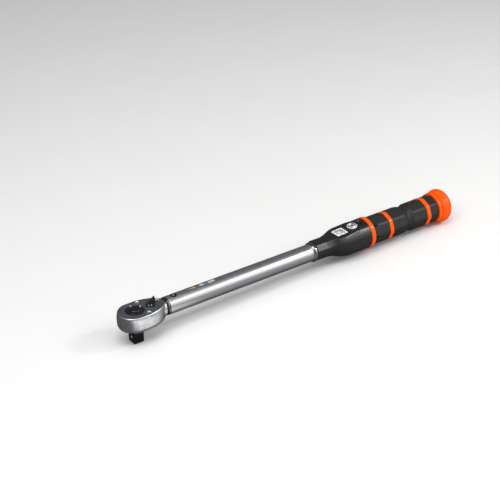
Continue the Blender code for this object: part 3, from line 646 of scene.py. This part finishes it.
def reverse_lever():
    """Thumb lever: a wedge that rises from its ribbed end to a raised tip, with pale rods in its grooves as
    painted glints.
    """
    base, shaft_bottom = PLATE_Z[1] + 0.3, span("reverse_lever", 2)[0]
    ribbed_left, ribbed_right = (-7.7, -2.6), (0.2, -6.9)
    corners = [(*ribbed_left, 0.5), (*ribbed_right, 0.5), (2.4, -4.6, 1.2), (7.4, 4.6, 0.6),
               (6.4, 5.5, 0.6), (-6.0, 2.4, 1.5)]
    lever = extruded("reverse_lever", softened(corners, True), base, base + 6.0)
    cut(lever,
        slanted("top_slope", base + 3.95, 0.12, 0.16),
        slanted("side_slope", base + 4.8, 0.47, -0.50))
    face = Vector(ribbed_right) - Vector(ribbed_left)
    heading = math.degrees(math.atan2(face.y, face.x))
    painted_glints = []
    for share in (0.33, 0.67):
        middle = Vector(ribbed_left) + face * share
        at = (middle.x, middle.y, base + 0.7)
        groove = turned("groove", [(0, 0.85), (9, 0.85)], 24, "Z")
        groove.data.transform(Matrix.Diagonal((1, 1.8, 1, 1)))
        cut(lever, moved(groove, at, (0, 0, heading)))
        # Pale steel rods in the grooves: painted glints standing in for the highlights between the ribs.
        rod = turned("lever_painted_glints", [(0.1, 0.3), (0.1, 0.62, 0.1), (1.6, 0.62, 0.3), (1.75, 0.2)], 24, "Z")
        inward = Vector((-face.y, face.x)).normalized() * 0.55
        painted_glints.append(moved(rod, (at[0] + inward.x + LEVER_X, at[1] + inward.y, at[2])))
    eased(lever, 0.25, 3, 35)
    shaft = turned("shaft", [(shaft_bottom, 1.8), (shaft_bottom, 2.6, 0.4), (base + 1.0, 2.6)], 48, "Z")
    fused(lever, shaft)
    moved(lever, (LEVER_X, 0, 0))
    piece(lever, "lever", "black_steel", None, "reverse_lever")
    piece(merged(*painted_glints), "lever", None, "bare_steel_and_painted_glint")


# ---- neck and tube -----------------------------------------------------------------------
def neck_rings():
    """Two dark seals with a bright washer between them."""
    for node, slot, corner in (("neck_seal_front", "black_rubber", 0.45),
                               ("neck_washer", "bright_steel", 0.15),
                               ("neck_seal_rear", "black_rubber", 0.35)):
        start, end = span(node, 0)
        outer = span(node, 1)[1]
        profile = [(start, TUBE_BORE + 0.5, 0.1), (start, outer, corner), (end, outer, corner),
                   (end, TUBE_BORE, 0.1)]
        piece(turned(node, profile, 128, hollow=True), "wrench_body", slot, None, node, 50)


def pivot_pin():
    low, high = span("pivot_pin", 2)
    profile = [(low, 1.6), (low, PIN_R, 0.5), (high, PIN_R, 0.5), (high, 2.1, 0.3), (high - 0.8, 1.3, 0.3),
               (high - 0.9, 0.3)]
    piece(moved(turned("pivot_pin", profile, 64, "Z"), (PIVOT_X, 0, 0)), "wrench_body", "black_steel",
          None, "pivot_pin")
    # Bright steel lining the dimple of the dark pin: a painted highlight.
    dimple = turned("pin_dimple_painted_highlight", [(high - 0.88, 0.3), (high - 0.88, 1.3, 0.1), (high - 0.1, 1.95, 0.1),
                                   (high - 0.1, 1.75, 0.1), (high - 0.8, 0.6, 0.1),
                                   (high - 0.8, 0.3)], 48, "Z")
    piece(moved(dimple, (PIVOT_X, 0, 0)), "wrench_body", "bright_steel", None)


def tube():
    """Satin pipe, with the pivot's hole, the scale's slot and the end plug's dowel hole."""
    start, end = TUBE_X
    profile = [(start, TUBE_BORE, 0.2), (start, TUBE_R, 0.45), (end, TUBE_R, 0.3), (end, TUBE_BORE, 0.2)]
    pipe = turned("tube", profile, 160, hollow=True)
    slot_x = span("scale_strip", 0)[0] - 22.3
    cut(pipe,
        moved(turned("pin_hole", [(-15, PIN_R + 0.3), (15, PIN_R + 0.3)], 64, "Z"), (PIVOT_X, 0, 0)),
        extruded("key_slot", oblong(slot_x, slot_x + 34, -2.4, 2.4), 7, 15),
        moved(turned("dowel_hole", [(0, 1.8), (8, 1.8)], 48, "Z"), (416, -6, 0), (90, 0, 0)))
    piece(pipe, "wrench_body", "satin_chrome", None, "tube")


def wrapped(thing, radius):
    """Bend a flat print, drawn in x and y at height 0, round the tube."""
    bm = bmesh.new()
    bm.from_mesh(thing.data)
    for vertex in bm.verts:
        angle = vertex.co.y / radius
        reach = radius + vertex.co.z
        vertex.co.y = reach * math.sin(angle)
        vertex.co.z = reach * math.cos(angle)
    bm.to_mesh(thing.data)
    bm.free()
    return thing


def tube_mark():
    """A generic direction arrow and range figures, printed on top of the tube."""
    start, turn = 70.0, -0.1
    surface = TUBE_R + 0.02
    shaft = [(0, -0.7), (4.5, -0.7), (4.5, -2.1), (8.0, 0), (4.5, 2.1), (4.5, 0.7), (0, 0.7)]
    arrow = moved(extruded("tube_arrow", shaft, 0, 0.05), (start, turn, 0))
    piece(wrapped(arrow, surface), "wrench_body", None, "orange_print")
    figures = lettering("tube_figures", "40 - 200", 6.0, (start + 23, turn, 0.03), 0.05)
    piece(wrapped(figures, surface), "wrench_body", None, "white_print")


# ---- window housing ----------------------------------------------------------------------
FACET_ANGLE = math.radians(39.5)                # flats beside the deck, up from the Y axis


def deck_height(x, y):
    """Top of the housing: a slowly rising deck that ends in a wall curved in plan."""
    line_x = [236, 259, 267, 275, 284, 293, 302.5, 309, 320]
    line_z = [11.9, 12.2, 12.7, 13.2, 13.75, 14.4, 15.2, 15.75, 16.7]
    wall_x = HOUSING_END_X - 4.6 - 25.0 * (y / 15.0) ** 2
    return np.interp(x, line_x, line_z) + 2.4 * np.maximum(0, x - wall_x)


def housing_radius(x, angles):
    """Outer radius of the housing at one x, for every angle round it."""
    belly_front, shoulder_front, full = 11.7, 13.0, 18.8
    up = np.sin(angles)
    belly = belly_front + (full - belly_front) * smoothstep(x, 258, 290)
    shoulder = shoulder_front + (full - shoulder_front) * smoothstep(x, 255, 283)
    radius = belly + (shoulder - belly) * smoothstep(up, -0.35, 0.45)
    rim_angle = math.asin(min(0.95, float(deck_height(x, 0.0)) / full)) - math.radians(5)
    rim = 0.55 * smoothstep(x, 283, 291) * (1 - smoothstep(x, 298, 305))
    for side in (rim_angle, math.pi - rim_angle):
        radius = radius + rim * np.exp(-((angles - side) / math.radians(4.5)) ** 2)
    half = math.radians(17) * math.sqrt(max(0.0, 1 - max(0.0, (x - 261) / 12.0) ** 2))
    for side in (FACET_ANGLE, math.pi - FACET_ANGLE):
        turn = np.abs(angles - side)
        plane = np.where(turn < 0.9, shoulder * math.cos(half) / np.cos(np.minimum(turn, 0.9)), 99.0)
        radius = soft_least(radius, plane, 220)
    reach = np.linspace(8.0, 20.0, 400)[:, None]
    above = reach * up - deck_height(x, reach * np.cos(angles))
    crossing = np.argmax(above > 0, axis=0)
    open_sky = above.max(axis=0) > 0
    deck = np.where(open_sky & (crossing > 0), reach[crossing, 0], 99.0)
    sharpness = 70 - 25 * smoothstep(x, 270, 284)
    return soft_least(radius, deck, sharpness)


def housing():
    """Window housing: a skin through its stations, with seats for lens, strip and emblem."""
    steps = 320
    angles = np.linspace(0, 2 * math.pi, steps, endpoint=False)
    stations = [(NOSE_X, 0.7), (NOSE_X + 0.12, 0.35), (NOSE_X + 0.4, 0.1), (NOSE_X + 0.8, 0.0)]
    stations += [(x, 0.0) for x in np.arange(NOSE_X + 1.4, HOUSING_END_X - 0.6, 0.6)]
    stations += [(HOUSING_END_X - 0.4, 0.02), (HOUSING_END_X - 0.1, 0.15), (HOUSING_END_X, 0.4)]
    rings = []
    for x, inset in stations:
        radius = housing_radius(x, angles) - inset
        rings.append(around(x, radius, steps, "X"))
    rings.append(around(HOUSING_END_X, HOUSING_BORE, steps, "X"))
    rings.append(around(NOSE_X, HOUSING_BORE, steps, "X"))
    shell = skin("housing", rings, loop=True)
    x, y = WINDOW_LENGTH / 2, WINDOW_HALF
    seat = oblong(-x - 0.3, x + 0.3, -y - 0.3, y + 0.3, 1.2)
    opening = oblong(-x + 1.0, x - 1.0, -y + 1.2, y - 1.2, 1.0)
    strip_x = span("scale_strip", 0)
    channel = oblong(strip_x[0] - 23.6, strip_x[1] + 0.9, -6.0, 6.0)
    emblem_seat_r = EMBLEM_R + 0.25
    cut(shell,
        extruded("strip_channel", channel, 7.0, 11.5),
        moved(extruded("opening", opening, 9.5, 15.5), (WINDOW_AT[0], 0, 0)),
        moved(extruded("lens_seat", seat, -0.65, 4), WINDOW_AT, WINDOW_TILT),
        moved(turned("emblem_seat", [(-1.3, emblem_seat_r), (4, emblem_seat_r)], 96, "Z"),
              EMBLEM_AT, EMBLEM_TILT))
    piece(shell, "wrench_body", "black_plastic", None, "housing", 40)


def nose_ring():
    """Metal ring at the housing's front, with a thin bright lip on the tube before it."""
    start, end = span("nose_ring", 0)
    outer = span("nose_ring", 1)[1]
    lip_low, lip_high = TUBE_R + 0.02, TUBE_R + 0.22
    lip = turned("nose_lip", [(start - 1.5, lip_low, 0.05), (start - 1.2, lip_high, 0.2),
                              (start - 0.35, lip_high, 0.1), (start - 0.35, lip_low, 0.05)],
                 160, hollow=True)
    piece(lip, "wrench_body", "satin_chrome", None, (), 50)
    ring = turned("nose_ring", [(start, HOUSING_BORE, 0.1), (start, outer - 0.9, 0.3),
                                (start + 2.4, outer, 1.0), (end, outer, 0.4), (end, HOUSING_BORE, 0.1)],
                  128, hollow=True)
    piece(ring, "wrench_body", "black_steel", "black_nickel", "nose_ring", 50)


def window():
    """Clear lens over a white printed border, with a red line to read the scale against."""
    def pane(inset, corner):
        x, y = WINDOW_LENGTH / 2 - inset, WINDOW_HALF - inset
        return oblong(-x, x, -y, y, corner)

    lens = moved(extruded("window_lens", pane(0, 1.0), -0.3, 0.35, 0.12), WINDOW_AT, WINDOW_TILT)
    piece(lens, "wrench_body", "clear_plastic", None, "window_lens")
    border = extruded("window_border", pane(0.25, 0.9), -0.42, -0.34)
    cut(border, extruded("pane", pane(2.2, 0.6), -1, 1))
    piece(moved(border, WINDOW_AT, WINDOW_TILT), "wrench_body", None, "white_plastic")
    line_x, line_y = -1.6, WINDOW_HALF - 0.6
    line = extruded("index_line", oblong(line_x - 0.4, line_x + 0.4, -line_y, line_y), -0.33, -0.31)
    piece(moved(line, WINDOW_AT, WINDOW_TILT), "wrench_body", None, "red_print")


def scale_strip():
    """White strip on the load nut, with figures and graduations that slide under the window."""
    start, end = span("scale_strip", 0)
    low, high = span("scale_strip", 2)
    half = span("scale_strip", 1)[1]
    strip = extruded("scale_strip", oblong(start, end, -half, half, 0.6), low, high, 0.06)
    piece(strip, "load_nut", "white_plastic", None, "scale_strip")
    pitch = 7.4
    for index in range(5):
        x = start + 4.8 + pitch * index
        value = str(40 + 40 * index)
        piece(lettering(f"scale_figure_{value}", value, 6.0, (x, 1.5, high + 0.02), 0.03, (0, 0, 90), 0.8),
              "load_nut", None, "black_print_and_painted_shade")
    ticks = []
    foot = -half + 0.4
    for index in range(21):
        x = start + 2.9 + pitch / 4 * index
        length = 2.6 if index % 4 == 1 else 1.5
        outline = oblong(x - 0.27, x + 0.27, foot, foot + length)
        ticks.append(extruded("scale_ticks", outline, high + 0.005, high + 0.03))
    piece(merged(*ticks), "load_nut", None, "black_print_and_painted_shade")


def lock_emblem():
    """White disc with a generic padlock between two turning arrows."""
    disc = turned("lock_emblem", [(-1.0, 4.0), (-1.0, EMBLEM_R, 0.2), (0.85, EMBLEM_R, 0.35),
                                  (1.0, EMBLEM_R - 0.6, 0.2), (0.86, EMBLEM_R - 0.9, 0.1),
                                  (0.86, 2.0)], 128, "Z")
    piece(moved(disc, EMBLEM_AT, EMBLEM_TILT), "wrench_body", "white_plastic", None, "lock_emblem")

    def printed(name, outline):
        return extruded(name, outline, 0.86, 1.00)

    centre = (0, 0)
    marks = [printed("emblem_lock", oblong(-2.1, 2.1, -1.9, 0.9, 0.4)),
             printed("shackle", arc_band((0, 0.9), 1.7, 0.9, 0, 180, 16))]
    for start in (35, 215):
        end = start + 95
        marks.append(printed("band", arc_band(centre, 4.55, 3.2, start, end, 20)))
        out_from = Vector((math.cos(math.radians(end)), math.sin(math.radians(end))))
        along = Vector((-out_from.y, out_from.x))
        middle = out_from * 4.0
        tip = [middle + out_from * 1.1, middle + along * 1.7, middle - out_from * 1.1]
        marks.append(printed("tip", [tuple(point) for point in tip]))
    for step in range(16):
        start = 22.5 * step
        marks.append(printed("rim_bar", arc_band(centre, 5.7, 4.9, start, start + 12, 4)))
    mark = moved(merged(*marks), turn=(0, 0, 90))
    piece(moved(mark, EMBLEM_AT, EMBLEM_TILT), "wrench_body", None, "black_print_and_painted_shade")


# ---- grip --------------------------------------------------------------------------------
def octagon(angles, flat):
    """Radius of an eight-sided bar with a corner on top; flat is its half width."""
    turn = np.mod(angles, math.pi / 4) - math.pi / 8
    return flat / np.cos(turn)


def sleeve(name, stations, bore, steps=256, flat=None, sharpness=170):
    """A ring of (x, radius, inset) stations, kept within an eight-sided bar if flat(x) is given."""
    angles = np.linspace(0, 2 * math.pi, steps, endpoint=False)
    rings = []
    for x, radius, inset in stations:
        outline = np.full(steps, float(radius))
        if flat:
            outline = soft_least(outline, octagon(angles, flat(x)), sharpness)
        rings.append(around(x, outline - inset, steps, "X"))
    rings.append(around(stations[-1][0], bore, steps, "X"))
    rings.append(around(stations[0][0], bore, steps, "X"))
    return skin(name, rings, loop=True)


def edged(start, end, radius_at, fillet, step=0.5):
    """Stations from start to end with both edges rounded by fillet."""
    turns = [math.radians(angle) for angle in (0, 25, 50, 75)]
    bends = [(fillet * (1 - math.cos(a)), fillet * (1 - math.sin(a))) for a in turns]
    count = max(2, round((end - start - 2 * fillet) / step))
    return ([(start + along, radius_at(start), inset) for along, inset in bends]
            + [(x, radius_at(x), 0.0) for x in np.linspace(start + fillet, end - fillet, count + 1)]
            + [(end - along, radius_at(end), inset) for along, inset in reversed(bends)])


def grip():
    """Three rubber sleeves with orange rings between them, on the core tube."""
    core_bore = span("grip_core", 1)[1] + 0.3
    rings = (("ring_front", HOUSING_BORE, None), ("ring_middle", core_bore, lambda x: 16.9),
             ("ring_rear", core_bore, lambda x: 17.1))
    for node, bore, flat in rings:
        start, end = span(node, 0)
        radius = span(node, 1)[1]
        band = sleeve(node, edged(start, end, lambda x: radius, 0.45), bore, flat=flat)
        piece(band, "wrench_body", "orange_plastic", None, node, 40)

    round_r, flat_r = 17.3, 16.5
    flare_length, flare = 9, 1.0
    waist_half, waist_depth = 8.5, 2.55
    front_x, rear_x = span("grip_front", 0)[0], span("grip_rear", 0)
    waist_x = sum(span("grip_middle", 0)) / 2 - 0.2

    def front_radius(x):
        return round_r + flare * (1 - smoothstep(x, front_x, front_x + flare_length))

    def waist_radius(x):
        share = min(1.0, abs(x - waist_x) / waist_half)
        return round_r + 0.05 - waist_depth * (0.5 + 0.5 * math.cos(math.pi * share))

    def rear_radius(x):
        return round_r + (span("grip_rear", 1)[1] - round_r) * smoothstep(x, *rear_x)

    def grip_flat(x):
        return flat_r + (rear_radius(x) - round_r) * 1.3 if x > rear_x[0] else flat_r

    for node, radius_at in (("grip_front", front_radius), ("grip_middle", waist_radius),
                            ("grip_rear", rear_radius)):
        start, end = span(node, 0)
        band = sleeve(node, edged(start, end, radius_at, 0.35), core_bore, flat=grip_flat, sharpness=260)
        piece(band, "wrench_body", "black_rubber", None, node, 40)


# ---- setting knob ------------------------------------------------------------------------
def lock_collar():
    start, end = span("lock_collar", 0)
    radius = span("lock_collar", 1)[1]
    collar = turned("lock_collar", [(start, 9.0, 0.2), (start, radius, 0.5), (end, radius, 0.35),
                                    (end, 9.0, 0.2)], 160, hollow=True)
    piece(collar, "wrench_body", "orange_plastic", None, "lock_collar", 40)


def setting_knob():
    """Rounded knob with a hexagonal socket for its hub, and its end cap."""
    start, end = KNOB_X
    profile = [(end - 1.9, 4.0), (end - 1.9, 12.3, 0.1), (end, 12.3, 0.3), (end, 15.0, 1.0),
               (end - 1.4, 18.0, 1.8), (end - 3.9, 20.2, 1.4), (end - 6.6, KNOB_R, 1.2),
               (end - 9.5, 20.8, 2.0), (start + 3.0, 19.75, 2.0), (start + 0.9, 19.3, 0.35),
               (start, 18.0, 0.2), (start, 8.0)]
    knob = turned("setting_knob", profile, 192)
    socket = turned("socket", [(start - 1.0, 7.9), (start + 11.9, 7.9)], 6)
    socket.data.transform(Matrix.Rotation(math.radians(10), 4, "X"))
    cut(knob, socket)
    piece(knob, "knob", "orange_plastic", None, "setting_knob", 40)
    cap_x = span("knob_cap", 0)
    cap_r = span("knob_cap", 1)[1]
    cap = turned("knob_cap", [(cap_x[0], 8.0), (cap_x[0], cap_r, 0.1), (cap_x[1], cap_r, 0.5),
                              (cap_x[1], cap_r - 2.0, 0.4), (cap_x[1] - 0.35, cap_r - 2.6, 0.3),
                              (cap_x[1] - 0.35, 2.0)], 128)
    piece(cap, "knob", "orange_plastic", None, "knob_cap", 40)


# ---- inner works -------------------------------------------------------------------------
def main_spring():
    """The load spring, a coil from the plunger to the load nut; the real spring shortens as the nut comes
    forward, but this coil is built at one length.
    """
    radius, wire, turns = 6.1, 1.45, 13
    start, end = span("plunger", 0)[1] - 6.0 + 1.6, span("load_nut", 0)[0] - 0.3
    spring = piece(coil("main_spring", radius, wire, start, end, turns), "wrench_body", "spring_steel",
                   None, "main_spring", 60)
    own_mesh(spring)


def inner_finishes():
    """Procedural finishes for the CAD nodes that show as they are."""
    for slot in frame["record"]["materials"]:
        for subpart in frame["record"]["subparts"]:
            thing = frame["nodes"][subpart["node"]]
            if subpart["material_slot"] != slot["slot"] or thing.hide_render:
                continue
            thing.data.materials.clear()
            thing.data.materials.append(FINISHES[slot["slot"]])


# ---- floor, light and camera -------------------------------------------------------------
def floor():
    """A pale sheet under square and knob.  Glossy rays see a painted reflection on it: dark under the
    wrench and on its +y side, bright on its -y side and dimmer further along x, so the metal shows dark and
    bright parts.
    """
    heel, knob_low = 6.35, AXIS_Z - KNOB_R
    knob_x = KNOB_X[1] - 5.0
    slope = math.atan2(knob_low, knob_x - heel)
    bm = bmesh.new()
    bmesh.ops.create_grid(bm, x_segments=4, y_segments=4, size=6.0)
    sheet = from_bmesh("floor", bm)
    sheet.matrix_world = Matrix.Translation((heel * MM, 0, -0.00005)) @ Matrix.Rotation(-slope, 4, "Y")
    look = finish("floor_paper", (0.80, 0.80, 0.795), 0.8, tint=0.008, patch=0.01, grain=0.6,
                  height=0.01, specular=0.2)
    tree = look.node_tree
    base = tree.nodes["Principled BSDF"].inputs["Base Color"]
    paper = base.links[0].from_socket
    place = new_node(tree, "ShaderNodeSeparateXYZ")
    tree.links.new(new_node(tree, "ShaderNodeTexCoord").outputs["Object"], place.inputs["Vector"])
    # Masks for the painted reflection: where the metal sees the floor as dark and where it sees it as
    # bright.
    beside = remap(tree, place.outputs["Y"], 0.0, 1.0, -0.014, -0.045)
    across = new_node(tree, "ShaderNodeMath", operation="SUBTRACT")
    tree.links.new(place.outputs["X"], across.inputs[0])
    tree.links.new(place.outputs["Y"], across.inputs[1])
    share = new_node(tree, "ShaderNodeMath", operation="MULTIPLY")
    tree.links.new(beside, share.inputs[0])
    tree.links.new(remap(tree, across.outputs[0], 0.0, 1.0, 0.0, 0.085), share.inputs[1])
    beyond = remap(tree, place.outputs["X"], 0.0, 1.0, 0.03, 0.10)
    bright = blended(tree, beyond, (0.95, 0.95, 0.95), (0.26, 0.26, 0.26))
    painted_reflection = blended(tree, share.outputs[0], (0.08, 0.08, 0.082), bright)
    # Glossy rays see the painted reflection; all other rays see the plain pale paper.
    in_metal = new_node(tree, "ShaderNodeLightPath").outputs["Is Glossy Ray"]
    tree.links.new(blended(tree, in_metal, paper, painted_reflection), base)
    sheet.data.materials.append(look)


def softbox(name, at, width, height, power, glossy=True):
    """A rectangular light aimed at the middle of the wrench."""
    light = bpy.data.lights.new(name, "AREA")
    light.shape = "RECTANGLE"
    light.size, light.size_y = width, height
    light.energy = power
    box = linked(name, light)
    back = (Vector(at) - Vector((0.20, 0.0, 0.03))).normalized()
    wide = (Vector((1, 0, 0)) - back * back.x).normalized()
    box.matrix_world = Matrix.Translation(at) @ Matrix((wide, back.cross(wide), back)).transposed().to_4x4()
    box.visible_glossy = glossy


def lights():
    softbox("low_panel", (1.0, -1.27, 0.52), 1.6, 0.7, 3.5)
    softbox("key_softbox", (0.955, -0.89, 0.975), 1.7, 0.54, 6.6)
    softbox("accent", (1.02, -0.67, 0.93), 0.14, 0.14, 3.2)
    softbox("front_softbox", (-0.48, -0.38, 1.33), 1.5, 0.8, 15.0)
    softbox("overhead", (0.1, 0.1, 1.6), 1.8, 1.8, 6.0, glossy=False)


def world():
    """A pale room, darker where metal reflects it."""
    room = bpy.data.worlds.new("studio")
    SCENE.world = room
    room.use_nodes = True
    tree = room.node_tree
    direction = new_node(tree, "ShaderNodeTexCoord").outputs["Generated"]
    split = new_node(tree, "ShaderNodeSeparateXYZ")
    tree.links.new(direction, split.inputs["Vector"])
    share = remap(tree, split.outputs["Z"], 0.0, 1.0, 0.05, 0.75)
    seen_in_metal = blended(tree, share, (0.28, 0.28, 0.28), (0.24, 0.245, 0.25))
    in_metal = new_node(tree, "ShaderNodeLightPath").outputs["Is Glossy Ray"]
    shade = blended(tree, in_metal, (0.60, 0.60, 0.60), seen_in_metal)
    tree.links.new(shade, tree.nodes["Background"].inputs["Color"])
    tree.nodes["Background"].inputs["Strength"].default_value = 0.55


def camera():
    """A long lens 29 degrees above the bench, as the wrench was first seen."""
    azimuth, elevation, roll = math.radians(-35.25), math.radians(29.33), math.radians(-0.59)
    aim, distance = Vector((0.15228, 0.0, 0.06223)), 1.4228
    back = Vector((math.sin(azimuth) * math.cos(elevation), -math.cos(azimuth) * math.cos(elevation),
                   math.sin(elevation)))
    lens = bpy.data.cameras.new("camera")
    lens.lens = 91.14
    lens.sensor_width = 36.0
    eye = linked("camera", lens)
    eye.location = aim + back * distance
    eye.rotation_mode = "QUATERNION"
    eye.rotation_quaternion = (-back).to_track_quat("-Z", "Y") @ Quaternion((0, 0, 1), roll)
    SCENE.camera = eye
    SCENE.view_settings.view_transform = "Standard"


ratchet_head()
cover_plate()
square_drive()
drive_circlip()
release_button()
reverse_lever()
neck_rings()
pivot_pin()
tube()
tube_mark()
housing()
nose_ring()
window()
scale_strip()
lock_emblem()
grip()
lock_collar()
setting_knob()
main_spring()
inner_finishes()
floor()
lights()
world()
camera()

bpy.context.view_layer.update()
